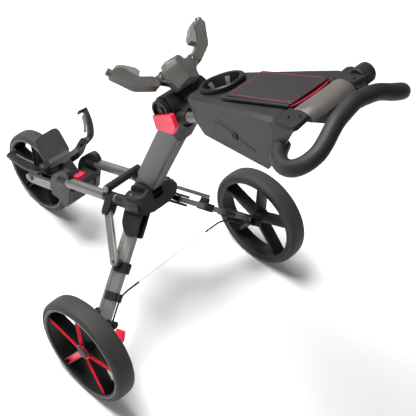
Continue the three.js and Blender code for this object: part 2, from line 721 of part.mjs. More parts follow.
const stemRoom = slabXY([
  [-STEM_HALF_WIDTH - GAP, -STEM_DEPTH - GAP, 9], [STEM_HALF_WIDTH + GAP, -STEM_DEPTH - GAP, 9],
  [STEM_HALF_WIDTH + GAP, STEM_DEPTH + GAP, 9], [-STEM_HALF_WIDTH - GAP, STEM_DEPTH + GAP, 9],
], 0, STEM_TOP + GAP);
const barrelNeck = slabXY([[-23, -55, 8], [23, -55, 8], [23, 17, 8], [-23, 17, 8]], -88, -30);
const barrelSpine = slabXY([[-16, -40, 4], [16, -40, 4], [16, 10, 4], [-16, 10, 4]], -40, -14);
const bracketFoot = slabXY([[-30, -40, 4], [30, -40, 4], [30, -6, 4], [-30, -6, 4]], -15.5, -9.3);
const bracketRib = slabXY([[-16, -60, 3], [16, -60, 3], [16, -10, 3], [-16, -10, 3]], -30, -12);
const hingeBarrel = cut(
  join(
    placed(join(barrelRod(-KNUCKLE_INNER, KNUCKLE_INNER, BARREL_RADIUS), barrelNeck, barrelSpine), barrelFrame),
    placed(join(bracketFoot, bracketRib), bracketFrame),
  ),
  placed(stemRoom, stemFrame),
  placed(barrelRod(-20, 20, 8.3, 16), barrelFrame),
);
addPart(cart, 'hinge_barrel', hingeBarrel, charcoal);

const bracketPlate = slabXY([
  [-22, 24, 4], [22, 24, 4], [29, 7, 3], [44, 12, 4], [55, 6, 6], [56, -8, 6], [36, -24, 5], [32, -42, 3],
  [-32, -42, 3], [-36, -24, 5], [-56, -8, 6], [-55, 6, 6], [-44, 12, 4], [-29, 7, 3],
], -9, 9);
const armSlot = block([38, 70], [-20, 30], [-5.3, 5.3]);
const bracketShape = cut(
  join(bracketPlate, bothSides(rod([...UPPER_PIVOT, -9], [...UPPER_PIVOT, 9], 8.5))),
  armSlot,
  mirrored(armSlot, 'x'),
);
const armPins = bothSides(rod([...UPPER_PIVOT, -7], [...UPPER_PIVOT, 7], 3, 12));
addPart(bracketFrame, 'upper_bag_bracket', join(bracketShape, armPins), charcoal);

const upperArm = cut(
  join(
    slabXY(stadium(UPPER_PIVOT, [68, 2], 8), -5, 5),
    slabXY([
      [60, -15, 3], [106, 9, 8], [124, 38, 8], [138, 59, 6], [129, 69, 6], [108, 60, 4], [99, 42, 6],
      [89, 26, 6], [60, 11, 3],
    ], -23, 5),
    rod([127, 58, -9], [137, 73, -9], 8, 14),
  ),
  rod([...UPPER_PIVOT, -12], [...UPPER_PIVOT, 12], 3.3, 12),
);
const upperPad = slabXY([
  [86.8, 26.6], [97.4, 42.6], [106.6, 60.6], [119, 66], [115, 72], [99, 64], [80, 47], [76, 36],
], -19, 1);
addPart(bracketFrame, 'upper_arm_right', upperArm, charcoal);
addPart(bracketFrame, 'upper_arm_left', mirrored(upperArm, 'x'), charcoal);
addPart(bracketFrame, 'upper_pad_right', upperPad, greyRubber);
addPart(bracketFrame, 'upper_pad_left', mirrored(upperPad, 'x'), greyRubber);

// ---------------------------------------------------------------- cam lever

const camLever = cut(
  join(
    slabYZ([
      [4, -16, 3], [12, -28, 4], [-11, -53, 5], [-55, -19, 5], [-55, 5, 5], [-30, 26, 4], [-16, 14, 3],
    ], LEVER_OUTER, LEVER_INNER),
    rod([LEVER_OUTER, 0, 0], [LEVER_INNER, 0, 0], 24, 20),
    turned([[0, -LEVER_OUTER - 1], [24, -LEVER_OUTER - 1], [21, -LEVER_OUTER + 3], [0, -LEVER_OUTER + 4]], 20)
      .rotateY(Math.PI),
  ),
  rod([LEVER_OUTER + 3, 0, 0], [LEVER_INNER + 3, 0, 0], LEVER_BORE_RADIUS, 16),
);
addPart(barrelFrame, 'cam_lever', camLever, redPlastic);

// ---------------------------------------------------------------- handle and console

const gripHalf = [
  [0, 4, 489], [31, 0, 490], [58, -6, 490.5], [78, -14.5, 491], [100, -26, 491], [124, -36, 489], [144, -45, 475],
  [154, -50, 455], [155, -47, 436], [152, -31, 422], [144, -13, 417.5], [131, -4, 417], [118, -3, 417],
  [106, -3, 417],
];

// Console sections: [distance from the barrel, half width at top, half width at bottom, top, bottom].
const consoleSections = [
  [96, 56, 54, 33, -28],
  [116, 62, 60, 36, -52],
  [210, 74, 72, 31, -78],
  [318, 98, 96, 23, -96],
  [376, 108, 106, 19, -55],
  [437, 112, 108, 4, -4],
];

function consoleRing([distance, top, bottom, high, low], inset) {
  const t = top - inset;
  const b = bottom - inset;
  const h = high - inset;
  return [
    [-b, low, distance], [b, low, distance], [t, h - 6, distance], [t - 10, h, distance],
    [-t + 10, h, distance], [-t, h - 6, distance],
  ];
}

function consoleShape() {
  const outer = loft(consoleSections.map((section) => consoleRing(section, 0)));
  const inner = loft(consoleSections.map((section, i) => {
    const [distance, top, bottom, high, low] = section;
    const shift = i === 0 ? 3 : i === consoleSections.length - 1 ? 4 : 0;
    return consoleRing([distance + shift, top, bottom, high, low - 8], 3);
  }));
  const cupRoom = rod([0, 70, 151.5], [0, -60, 151.5], 43.8, 28);
  const trayRoom = block([-44, 44], [0, 60], [222, 372]);
  const tubeHole = rod([...TUBE_PLACE, 60], [...TUBE_PLACE, 112], TUBE_RADIUS + GAP);
  const rearRoom = block([-62, 62], [-120, 60], [432, 460]);
  const shell = cut(outer, inner, cupRoom, trayRoom, tubeHole, mirrored(tubeHole, 'x'), rearRoom);
  const gripSocket = rod([84, -3, 417], [114, -3, 417], GRIP_RADIUS + 3.5, 20);
  const gripRoom = rod([105.5, -3, 417], [150, -3, 417], GRIP_RADIUS + 1, 20);
  return cut(join(shell, bothSides(gripSocket)), gripRoom, mirrored(gripRoom, 'x'));
}

addPart(handleFrame, 'console_shell', consoleShape(), charcoal);

const cupHolder = turned([
  [41, -34], [43, -34], [43, 40], [48, 40], [48, 43.5], [40, 43.5], [40, -30], [16, -30], [16, -34],
], 28).rotateZ(Math.PI / 2).translate(0, 0, 151.5);
addPart(handleFrame, 'cup_holder', cupHolder, blackPlastic);

const lidOutline = [[-56, 214, 8], [56, 214, 8], [60, 392, 14], [-60, 392, 14]];
const lid = slabXZ(lidOutline, 0, 4);
const lidFrame = new THREE.Group();
lidFrame.rotation.x = THREE.MathUtils.degToRad(4.5);
lidFrame.position.set(0, 51.5, 0);
handleFrame.add(lidFrame);
addPart(lidFrame, 'scorecard_lid', lid, charcoal);

const handleTube = rod([...TUBE_PLACE, 42], [...TUBE_PLACE, 107], TUBE_RADIUS);
addPart(handleFrame, 'handle_tube_right', handleTube, silverAlloy);
addPart(handleFrame, 'handle_tube_left', mirrored(handleTube, 'x'), silverAlloy);

function knuckleShape(end, roundOff) {
  return turned([
    [0, KNUCKLE_INNER + GAP], [BARREL_RADIUS, KNUCKLE_INNER + GAP], [BARREL_RADIUS, end - roundOff],
    [BARREL_RADIUS - roundOff, end], [0, end],
  ], 24);
}

function yokeShape() {
  const socket = rod([...TUBE_PLACE, 0], [...TUBE_PLACE, 56], SOCKET_RADIUS);
  const socketBore = rod([...TUBE_PLACE, 41.7], [...TUBE_PLACE, 80], TUBE_RADIUS + GAP);
  return join(
    cut(bothSides(socket), socketBore, mirrored(socketBore, 'x')),
    cut(knuckleShape(BARREL_HALF_LENGTH, 4), socketBore),
    cut(mirrored(knuckleShape(-LEVER_INNER - 1, 1), 'x'), mirrored(socketBore, 'x')),
    rod([-30, 0, 0], [30, 0, 0], 8, 16),
    rod([LEVER_OUTER + 4, 0, 0], [-40, 0, 0], LEVER_BORE_RADIUS - GAP, 16),
  );
}

addPart(handleFrame, 'handle_yoke', yokeShape(), charcoal);

const gripPath = [...gripHalf.slice(1).reverse().map(([x, y, z]) => [-x, y, z]), ...gripHalf];
addPart(handleFrame, 'handle_grip', tube(gripPath, GRIP_RADIUS, 36, 10), blackFoam);

export default cart;
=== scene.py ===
"""Looks of a three-wheel golf push cart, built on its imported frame. Metres, +Z up, +Y to the front wheel."""

import json
import math

import bmesh
import bpy
from mathutils import Matrix, Vector

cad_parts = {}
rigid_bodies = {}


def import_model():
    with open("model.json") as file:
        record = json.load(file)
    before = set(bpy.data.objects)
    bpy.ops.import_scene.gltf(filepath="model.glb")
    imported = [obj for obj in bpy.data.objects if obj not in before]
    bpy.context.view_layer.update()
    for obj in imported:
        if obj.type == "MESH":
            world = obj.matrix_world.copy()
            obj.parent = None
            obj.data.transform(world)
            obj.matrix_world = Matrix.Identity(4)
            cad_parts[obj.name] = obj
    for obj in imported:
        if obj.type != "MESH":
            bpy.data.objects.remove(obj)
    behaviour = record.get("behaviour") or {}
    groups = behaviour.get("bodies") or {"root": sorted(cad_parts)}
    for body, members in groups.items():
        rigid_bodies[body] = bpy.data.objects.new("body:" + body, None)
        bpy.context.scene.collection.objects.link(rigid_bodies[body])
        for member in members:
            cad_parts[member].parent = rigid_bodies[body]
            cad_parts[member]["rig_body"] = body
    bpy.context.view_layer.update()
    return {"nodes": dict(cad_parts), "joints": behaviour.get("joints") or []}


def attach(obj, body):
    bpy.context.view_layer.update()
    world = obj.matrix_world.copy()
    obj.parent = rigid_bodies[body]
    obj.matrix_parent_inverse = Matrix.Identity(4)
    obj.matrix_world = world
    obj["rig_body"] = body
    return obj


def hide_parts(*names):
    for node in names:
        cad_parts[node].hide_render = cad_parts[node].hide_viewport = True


MM = 0.001

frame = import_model()
joints = {j["name"]: j for j in frame["joints"]}


def joint_place(name):
    return Vector(joints[name]["pos_m"])


# ---------------------------------------------------------------- frames


def frame_matrix(origin, x_axis, y_axis):
    """A frame at origin whose units are millimetres."""
    x = Vector(x_axis).normalized()
    z = x.cross(Vector(y_axis)).normalized()
    y = z.cross(x)
    turn = Matrix((x, y, z)).transposed().to_4x4()
    return Matrix.Translation(origin) @ turn @ Matrix.Scale(MM, 4)


STEM_ORIGIN = joint_place("stem_fold")
HINGE = joint_place("handle_fold")
HINGE_CENTRE = Vector((0, HINGE.y, HINGE.z))
STEM_FRONT = (0, 0.9499, 0.3126)
BARREL = frame_matrix(HINGE_CENTRE, (1, 0, 0), STEM_FRONT)
HANDLE = frame_matrix(HINGE_CENTRE, (1, 0, 0), (0, 0.53, 0.848))
RAIL = frame_matrix(STEM_ORIGIN + Vector((0, -18.7, -8.9)) * MM, (1, 0, 0), (0, 0.912, -0.41))
ARM_PLACE = joint_place("upper_arm_fold_right")
BRACKET = frame_matrix(
    Vector((0, ARM_PLACE.y + 0.885 * MM, ARM_PLACE.z + 0.465 * MM)), (1, 0, 0), (0, 0.885, 0.465)
)
LOWER_PLACE = joint_place("lower_arm_fold_right")
CRADLE = frame_matrix(
    Vector((0, LOWER_PLACE.y + 4 * 0.885 * MM, LOWER_PLACE.z + 4 * 0.465 * MM)), (1, 0, 0), (0, 0.885, 0.465)
)
LID = HANDLE @ Matrix.Translation((0, 51.5, 0)) @ Matrix.Rotation(math.radians(4.5), 4, "X")


# ---------------------------------------------------------------- materials


def node_material(name, color, roughness, metallic=0.0, variation=0.12, patch=40.0,
                  grain=900.0, grain_depth=0.00008, grain_strength=0.4,
                  streak=None, coat=0.0, pores=False, gloss=0.5):
    """A moulded, foamed or drawn surface: cloudy colour, uneven roughness and fine relief."""
    material = bpy.data.materials.new(name)
    material.use_nodes = True
    nodes = material.node_tree.nodes
    links = material.node_tree.links
    shader = nodes["Principled BSDF"]
    shader.inputs["Metallic"].default_value = metallic
    shader.inputs["Coat Weight"].default_value = coat
    shader.inputs["Coat Roughness"].default_value = 0.25
    shader.inputs["Specular IOR Level"].default_value = gloss
    place = nodes.new("ShaderNodeTexCoord")
    mapping = nodes.new("ShaderNodeMapping")
    links.new(place.outputs["Object"], mapping.inputs["Vector"])
    if streak is not None:
        turn = Vector(streak).normalized().rotation_difference(Vector((0, 0, 1)))
        mapping.inputs["Rotation"].default_value = turn.to_euler()
        stretch = nodes.new("ShaderNodeMapping")
        stretch.inputs["Scale"].default_value = (1, 1, 0.02)
        links.new(mapping.outputs["Vector"], stretch.inputs["Vector"])
        fine_source = stretch.outputs["Vector"]
    else:
        fine_source = mapping.outputs["Vector"]
    cloud = nodes.new("ShaderNodeTexNoise")
    cloud.inputs["Scale"].default_value = patch
    cloud.inputs["Detail"].default_value = 5
    links.new(mapping.outputs["Vector"], cloud.inputs["Vector"])
    fine = nodes.new("ShaderNodeTexVoronoi" if pores else "ShaderNodeTexNoise")
    fine.inputs["Scale"].default_value = grain
    if not pores:
        fine.inputs["Detail"].default_value = 3
    links.new(fine_source, fine.inputs["Vector"])
    fine_value = fine.outputs["Distance"] if pores else fine.outputs["Fac"]

    tone = nodes.new("ShaderNodeValToRGB")
    low = [max(c * (1 - variation), 0) for c in color]
    high = [min(c * (1 + variation), 1) for c in color]
    tone.color_ramp.elements[0].position = 0.3
    tone.color_ramp.elements[0].color = (*low, 1)
    tone.color_ramp.elements[1].position = 0.7
    tone.color_ramp.elements[1].color = (*high, 1)
    links.new(cloud.outputs["Fac"], tone.inputs["Fac"])
    speck = nodes.new("ShaderNodeMix")
    speck.data_type = "RGBA"
    speck.blend_type = "MULTIPLY"
    speck.inputs[0].default_value = variation
    links.new(tone.outputs["Color"], speck.inputs[6])
    links.new(fine_value, speck.inputs[7])
    links.new(speck.outputs[2], shader.inputs["Base Color"])

    rough = nodes.new("ShaderNodeMapRange")
    rough.inputs["To Min"].default_value = max(roughness - 0.07, 0.05)
    rough.inputs["To Max"].default_value = min(roughness + 0.07, 1.0)
    links.new(cloud.outputs["Fac"], rough.inputs["Value"])
    links.new(rough.outputs["Result"], shader.inputs["Roughness"])

    bump = nodes.new("ShaderNodeBump")
    bump.inputs["Strength"].default_value = grain_strength
    bump.inputs["Distance"].default_value = grain_depth
    links.new(fine_value, bump.inputs["Height"])
    links.new(bump.outputs["Normal"], shader.inputs["Normal"])
    return material


RAIL_LINE = (0, 0.912, -0.41)
STEM_LINE = (0, -0.3126, 0.9499)
MATERIAL = {
    "charcoal_plastic": node_material("charcoal_plastic", (0.015, 0.0148, 0.0144), 0.46,
                                      grain=1400, gloss=0.28),
    "black_plastic": node_material("black_plastic", (0.010, 0.010, 0.010), 0.45, grain=1400, gloss=0.28),
    "grey_alloy": node_material("grey_alloy", (0.095, 0.095, 0.094), 0.42, metallic=0.6, variation=0.06,
                                grain=2500, streak=STEM_LINE, grain_depth=0.00003),
    "rail_alloy": node_material("rail_alloy", (0.18, 0.18, 0.177), 0.4, metallic=0.7, variation=0.06,
                                grain=2500, streak=RAIL_LINE, grain_depth=0.00003),
    "silver_right": node_material("silver_right", (0.27, 0.27, 0.258), 0.38, metallic=0.75, variation=0.06,
                                  grain=2500, streak=(0.737, -0.352, -0.577), grain_depth=0.00003),
    "silver_left": node_material("silver_left", (0.27, 0.27, 0.258), 0.38, metallic=0.75, variation=0.06,
                                 grain=2500, streak=(-0.737, -0.352, -0.577), grain_depth=0.00003),
    "foam_tyre": node_material("foam_tyre", (0.030, 0.0295, 0.028), 0.66, gloss=0.3, variation=0.1, patch=25,
                               grain=1100, grain_depth=0.00015, grain_strength=0.6, pores=True),
    "red_plastic": node_material("red_plastic", (0.90, 0.012, 0.052), 0.36, variation=0.05, coat=0.15),
    "red_bright": node_material("red_bright", (0.95, 0.03, 0.08), 0.3, variation=0.04, coat=0.3),
    "dark_red_plastic": node_material("dark_red_plastic", (0.34, 0.008, 0.024), 0.4, variation=0.1),
    # Ribbed rubber pads coloured mid grey: a painted sheen, the grey standing in for light caught on the ribs.
    "grey_rubber": node_material("grey_rubber", (0.13, 0.13, 0.126), 0.75, variation=0.1, pores=True),
    "black_foam": node_material("black_foam", (0.013, 0.0127, 0.012), 0.55,
                                gloss=0.3, variation=0.14, patch=30,
                                grain=1300, grain_depth=0.00014, grain_strength=0.6, pores=True),
    "dark_steel": node_material("dark_steel", (0.12, 0.12, 0.118), 0.4, metallic=0.6, variation=0.08),
    "steel": node_material("steel", (0.55, 0.55, 0.54), 0.3, metallic=1.0, variation=0.08),
    "bright_wire": node_material("bright_wire", (0.72, 0.72, 0.70), 0.4, metallic=0.2, variation=0.05),
    "warm_grey": node_material("warm_grey", (0.075, 0.070, 0.064), 0.5, grain=1400),
    "bracket_grey": node_material("bracket_grey", (0.066, 0.063, 0.057), 0.42, grain=1400),
    "plate_grey": node_material("plate_grey", (0.045, 0.044, 0.042), 0.5, grain=1400, gloss=0.3),
    # Lighter grey for the rims' lips: a painted highlight where light catches the edge, not a colour of the
    # plastic.
    "rim_lip_highlight": node_material("rim_lip_highlight", (0.16, 0.16, 0.155), 0.45, grain=1400),
    "end_cap": node_material("end_cap", (0.16, 0.15, 0.135), 0.5, variation=0.08),
}

# ---------------------------------------------------------------- mesh helpers


def make_piece(name, mesh, material, body, replaces=(), smooth_angle=35.0):
    """Puts a finished mesh on a body with its material."""
    obj = bpy.data.objects.new(name, mesh)
    bpy.context.scene.collection.objects.link(obj)
    mesh.materials.clear()
    mesh.materials.append(MATERIAL[material])
    mesh.shade_smooth()
    mesh.set_sharp_from_angle(angle=math.radians(smooth_angle))
    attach(obj, body)
    if replaces:
        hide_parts(*replaces)
    return obj


def finished(bm, matrix, name):
    bmesh.ops.transform(bm, matrix=matrix, verts=bm.verts)
    bmesh.ops.recalc_face_normals(bm, faces=bm.faces)
    mesh = bpy.data.meshes.new(name)
    bm.to_mesh(mesh)
    bm.free()
    return mesh


def add_bevel(obj, width, segments=2, angle=32.0):
    bevel = obj.modifiers.new("round", "BEVEL")
    bevel.width = width * MM
    bevel.segments = segments
    bevel.limit_method = "ANGLE"
    bevel.angle_limit = math.radians(angle)
    bevel.harden_normals = True
    bevel.use_clamp_overlap = True
    return obj


def skin(node, material, width=0.8, segments=2):
    """A copy of a CAD node with its edges rounded."""
    source = frame["nodes"][node]
    mesh = source.data.copy()
    bm = bmesh.new()
    bm.from_mesh(mesh)
    bmesh.ops.remove_doubles(bm, verts=bm.verts, dist=2e-5)
    bmesh.ops.dissolve_limit(bm, angle_limit=math.radians(1.5), verts=bm.verts, edges=bm.edges)
    bm.to_mesh(mesh)
    bm.free()
    obj = make_piece(f"{node}_skin", mesh, material, source["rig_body"], (node,))
    if width:
        add_bevel(obj, width, segments)
    return obj


def ring(centre, across, up, radius, sides):
    return [
        centre + across * (radius * math.cos(2 * math.pi * i / sides))
        + up * (radius * math.sin(2 * math.pi * i / sides))
        for i in range(sides)
    ]


def add_loft(bm, rings, closed=False, caps=True):
    """Quads through equal rings of points."""
    rows = [[bm.verts.new(p) for p in row] for row in rings]
    count = len(rows[0])
    steps = len(rows) if closed else len(rows) - 1
    for r in range(steps):
        here, there = rows[r], rows[(r + 1) % len(rows)]
        for i in range(count):
            bm.faces.new((here[i], here[(i + 1) % count], there[(i + 1) % count], there[i]))
    if caps and not closed:
        bm.faces.new(rows[0][::-1])
        bm.faces.new(rows[-1])


def spline(points, steps):
    """Catmull-Rom points through the given ones, centripetal."""
    pts = [Vector(p) for p in points]
    pts = [2 * pts[0] - pts[1]] + pts + [2 * pts[-1] - pts[-2]]
    out = []
    for k in range(1, len(pts) - 2):
        p0, p1, p2, p3 = pts[k - 1 : k + 3]
        t0 = 0.0
        t1 = t0 + max((p1 - p0).length, 1e-6) ** 0.5
        t2 = t1 + max((p2 - p1).length, 1e-6) ** 0.5
        t3 = t2 + max((p3 - p2).length, 1e-6) ** 0.5
        for s in range(steps):
            t = t1 + (t2 - t1) * s / steps
            a1 = p0.lerp(p1, (t - t0) / (t1 - t0))
            a2 = p1.lerp(p2, (t - t1) / (t2 - t1))
            a3 = p2.lerp(p3, (t - t2) / (t3 - t2))
            b1 = a1.lerp(a2, (t - t0) / (t2 - t0))
            b2 = a2.lerp(a3, (t - t1) / (t3 - t1))
            out.append(b1.lerp(b2, (t - t1) / (t2 - t1)))
    out.append(pts[-2])
    return out


def add_sweep(bm, path, radius, sides=16, closed=False, caps=True):
    """A round section along a path, turned as little as possible."""
    count = len(path)
    normal = None
    rings = []
    for i, p in enumerate(path):
        if closed:
            along = (path[(i + 1) % count] - path[i - 1]).normalized()
        else:
            along = (path[min(i + 1, count - 1)] - path[max(i - 1, 0)]).normalized()
        if normal is None:
            normal = along.orthogonal().normalized()
        normal = (normal - along * normal.dot(along)).normalized()
        size = radius[i] if isinstance(radius, (list, tuple)) else radius
        rings.append(ring(p, normal, along.cross(normal), size, sides))
    add_loft(bm, rings, closed=closed, caps=caps)


def add_lathe(bm, profile, centre=(0, 0, 0), segments=96, closed=True):
    """Turns [radius, x] corners about X."""
    start = Vector(centre)
    rings = []
    for k in range(segments):
        angle = 2 * math.pi * k / segments
        rings.append([
            start + Vector((x, radius * math.cos(angle), radius * math.sin(angle))) for radius, x in profile
        ])
    rows = [[bm.verts.new(p) for p in row] for row in rings]
    count = len(profile)
    spans = count if closed else count - 1
    for k in range(segments):
        here, there = rows[k], rows[(k + 1) % segments]
        for i in range(spans):
            j = (i + 1) % count
            bm.faces.new((here[i], here[j], there[j], there[i]))
    bmesh.ops.remove_doubles(bm, verts=bm.verts, dist=1e-4)


def rounded(corners, steps=4):
    """Points of an outline [x, y, radius] with its corners rounded."""
    out = []
    count = len(corners)
    for i, corner in enumerate(corners):
        here = Vector((corner[0], corner[1]))
        radius = corner[2] if len(corner) > 2 else 0
        to_before = Vector(corners[i - 1][:2]) - here
        to_after = Vector(corners[(i + 1) % count][:2]) - here
        reach = min(radius, to_before.length * 0.49, to_after.length * 0.49)
        if reach <= 0:
            out.append(here)
            continue
        enter = here + to_before.normalized() * reach
        leave = here + to_after.normalized() * reach
        for s in range(steps + 1):
            t = s / steps
            out.append(enter * (1 - t) ** 2 + here * 2 * t * (1 - t) + leave * t * t)
    return out


def add_prism(bm, outline, low, high, axes="xyz", edge=0.0):
    """An outline raised from low to high, with its edges chamfered. axes maps outline x, y and height."""
    order = ["xyz".index(a) for a in axes]

    def place(p, height):
        v = [0.0, 0.0, 0.0]
        v[order[0]], v[order[1]], v[order[2]] = p[0], p[1], height
        return Vector(v)

    middle = sum((Vector(p) for p in outline), Vector((0, 0))) / len(outline)
    reach = max((Vector(p) - middle).length for p in outline)
    shrink = 1 - edge / reach if edge else 1.0
    rings = []
    if edge:
        rings.append([place(middle + (Vector(p) - middle) * shrink, low) for p in outline])
        rings.append([place(p, low + edge) for p in outline])
        rings.append([place(p, high - edge) for p in outline])
        rings.append([place(middle + (Vector(p) - middle) * shrink, high) for p in outline])
    else:
        rings = [[place(p, low) for p in outline], [place(p, high) for p in outline]]
    add_loft(bm, rings)


def add_screw(bm, at, along, radius, height, socket=True):
    """A hex-socket button screw standing on a face."""
    at = Vector(at)
    along = Vector(along).normalized()
    across = along.orthogonal().normalized()
    up = along.cross(across)
    rings = [
        ring(at - along * 0.5, across, up, radius, 24),
        ring(at + along * height * 0.5, across, up, radius, 24),
        ring(at + along * height, across, up, radius * 0.72, 24),
    ]
    if socket:
        rings.append(ring(at + along * height, across, up, radius * 0.45, 24))
        rings.append(ring(at + along * height * 0.2, across, up, radius * 0.42, 24))
    add_loft(bm, rings)


def piece(name, matrix, material, body, build, replaces=(), bevel=0.0, smooth_angle=35.0):
    bm = bmesh.new()
    build(bm)
    obj = make_piece(name, finished(bm, matrix, name), material, body, replaces, smooth_angle)
    if bevel:
        add_bevel(obj, bevel)
    return obj


# ---------------------------------------------------------------- camera

AZIMUTH, ELEVATION, ROLL = math.radians(-51.348), math.radians(47.542), math.radians(6.469)
back = Vector((
    math.sin(AZIMUTH) * math.cos(ELEVATION), -math.cos(AZIMUTH) * math.cos(ELEVATION), math.sin(ELEVATION)
))
level = Vector((0, 0, 1)).cross(back).normalized()
upright = back.cross(level)
right = math.cos(ROLL) * level + math.sin(ROLL) * upright
up = -math.sin(ROLL) * level + math.cos(ROLL) * upright
camera_data = bpy.data.cameras.new("camera")
camera_data.sensor_width = 36
camera_data.lens = 80.757
camera = bpy.data.objects.new("camera", camera_data)
bpy.context.scene.collection.objects.link(camera)
camera.matrix_world = (
    Matrix.Translation(STEM_ORIGIN + Vector((-1.1464, -1.1249, 1.7002)))
    @ Matrix((right, up, back)).transposed().to_4x4()
)
bpy.context.scene.camera = camera

# ---------------------------------------------------------------- wheels

SPOKE_START = math.radians(12)
REAR_RADIUS, REAR_RIM = 145, 130
FRONT_RADIUS, FRONT_RIM = 125, 112


def tyre(name, centre, radius, half, rim, body):
    profile = []
    corners = [
        [rim, half - 2], [rim + 3.5, half - 0.7, 1.5], [radius - 8.5, half - 0.6, 5],
        [radius - 2.4, half - 4.8, 4], [radius - 0.5, half - 12, 6], [radius, half - 19, 4],
        [radius, 19 - half, 4], [radius - 0.5, 12 - half, 6], [radius - 2.4, 4.8 - half, 4],
        [radius - 8.5, 0.6 - half, 5], [rim + 3.5, 0.7 - half, 1.5], [rim, 2 - half],
    ]
    for p in rounded(corners, 4):
        profile.append((p.x, p.y))
    piece(name, frame_matrix(centre, (1, 0, 0), (0, 1, 0)), "foam_tyre", body,
          lambda bm: add_lathe(bm, profile, segments=128), (name.replace("_foam", ""),), smooth_angle=50)


def spoke_frame(index):
    angle = SPOKE_START + index * 2 * math.pi / 5
    return Matrix.Rotation(angle, 4, "X")


def spoke_section(y, inner, half):
    """Height of a spoke's lips and its half width, y from the axle."""
    top = 16.5 + (half - 22) * (max(y, 20) - 20) / (inner - 20)
    return top, 9.4 - 1.2 * (y - 18) / (inner - 18)


def rim(name, node, centre, side, half, rim_radius, body):
    """Deep dish, hub and five channel backs. side is +1 where the dish opens to +X."""
    outer, inner = rim_radius - 0.3, rim_radius - 7

    def build(bm):
        add_lathe(bm, [
            (outer, side * (half - 0.9)), (outer, -side * (half - 2)), (inner + 3, -side * (half - 2)),
            (inner + 1.5, side * (half - 16)), (inner - 1, side * (half - 9)), (inner - 1, side * (half - 3)),
            (inner + 1.5, side * (half - 0.9)),
        ], segments=96)
        add_lathe(bm, [
            (outer - 3, -side * (half - 2)), (inner - 6, -side * (half - 3)), (inner - 6, -side * (half - 5)),
            (outer - 3, -side * (half - 5)),
        ], segments=96)
        add_lathe(bm, [
            (6.3, -side * 18), (21, -side * 18), (22.5, -side * 14), (22.5, side * 11), (20, side * 13),
            (6.3, side * 13),
        ], segments=64)
        for i in range(5):
            spoke = bmesh.new()
            rings = []
            for y in (18, 40, 65, inner + 1.5):
                top, wide = spoke_section(y, inner, half)
                rings.append([
                    Vector((side * x, y, z)) for x, z in (
                        (top - 34, -wide * 0.5), (top - 14, -wide), (top, -wide), (top, 1.4 - wide),
                        (top - 10.6, 2.2 - wide), (top - 10.6, wide - 2.2), (top, wide - 1.4), (top, wide),
                        (top - 14, wide), (top - 34, wide * 0.5),
                    )
                ])
            add_loft(spoke, rings)
            bmesh.ops.transform(spoke, matrix=spoke_frame(i), verts=spoke.verts)
            copy = bpy.data.meshes.new("spoke")
            spoke.to_mesh(copy)
            spoke.free()
            bm.from_mesh(copy)
            bpy.data.meshes.remove(copy)

    obj = piece(name, frame_matrix(centre, (1, 0, 0), (0, 1, 0)), "black_plastic", body, build, (node,))
    add_bevel(obj, 0.5)


# A thin ring on the rim's lip, lighter grey than the dish: a painted highlight along the edge.
def rim_lip_highlight(name, centre, side, half, rim_radius, body):
    profile = [
        (rim_radius - 0.2, side * (half - 0.9)), (rim_radius - 0.4, side * (half - 0.2)),
        (rim_radius - 2.0, side * (half - 0.2)), (rim_radius - 2.4, side * (half - 0.9)),
    ]
    piece(name, frame_matrix(centre, (1, 0, 0), (0, 1, 0)), "rim_lip_highlight", body,
          lambda bm: add_lathe(bm, profile, segments=96))


def spoke_channels(name, node, centre, side, half, rim_radius, body, material="red_plastic"):
    """Five spoke channels: a floor between two raised lips."""
    inner = rim_radius - 7

    def build(bm):
        for i in range(5):
            part = bmesh.new()
            rings = []
            for y in (14, 24, 45, 70, inner - 0.8):
                top, wide = spoke_section(y, inner, half)
                rings.append([
                    Vector((side * x, y, z)) for x, z in (
                        (top - 0.9, 1.5 - wide), (top - 0.9, 2.2 - wide), (top - 9.2, 3.1 - wide),
                        (top - 9.2, wide - 3.1), (top - 0.9, wide - 2.2), (top - 0.9, wide - 1.5),
                        (top - 10.5, wide - 2.2), (top - 10.5, 2.2 - wide),
                    )
                ])
            add_loft(part, rings)
            bmesh.ops.transform(part, matrix=spoke_frame(i), verts=part.verts)
            copy = bpy.data.meshes.new("channel")
            part.to_mesh(copy)
            part.free()
            bm.from_mesh(copy)
            bpy.data.meshes.remove(copy)
        ring = [(6.6, side * 13.1), (20, side * 13.1), (20, side * 15.6), (6.6, side * 15.6)]
        add_lathe(bm, ring, segments=48)

    obj = piece(name, frame_matrix(centre, (1, 0, 0), (0, 1, 0)), material, body, build, (node,))
    add_bevel(obj, 0.35)


def hub_cap(name, node, centre, side, body):
    def build(bm):
        add_lathe(bm, [
            (0, side * 16.3), (17.2, side * 16.3), (18, side * 17.4), (17.6, side * 19), (15, side * 19.8),
            (14.2, side * 19), (13, side * 20.2), (6, side * 21.1), (0, side * 21.2),
        ], segments=64, closed=False)

    piece(name, frame_matrix(centre, (1, 0, 0), (0, 1, 0)), "charcoal_plastic", body, build, (node,))


for side, sign in (("right", 1), ("left", -1)):
    centre = joint_place(f"wheel_spin_{side}")
    body = f"wheel_{side}"
    tyre(f"rear_tyre_{side}_foam", centre, REAR_RADIUS, 27.5, REAR_RIM, body)
    rim(f"rear_rim_{side}_dish", f"rear_rim_{side}", centre, sign, 27.5, REAR_RIM, body)
    spoke_channels(f"spoke_channels_{side}", f"spoke_insert_{side}", centre, sign, 27.5, REAR_RIM, body)
    # Painted highlight ring along the rim's lip.
    rim_lip_highlight(f"rim_lip_highlight_{side}", centre, sign, 27.5, REAR_RIM, body)
    hub_cap(f"hub_cap_{side}_dome", f"hub_cap_{side}", centre, sign, body)
    skin(f"rear_axle_{side}", "steel", 0.4)

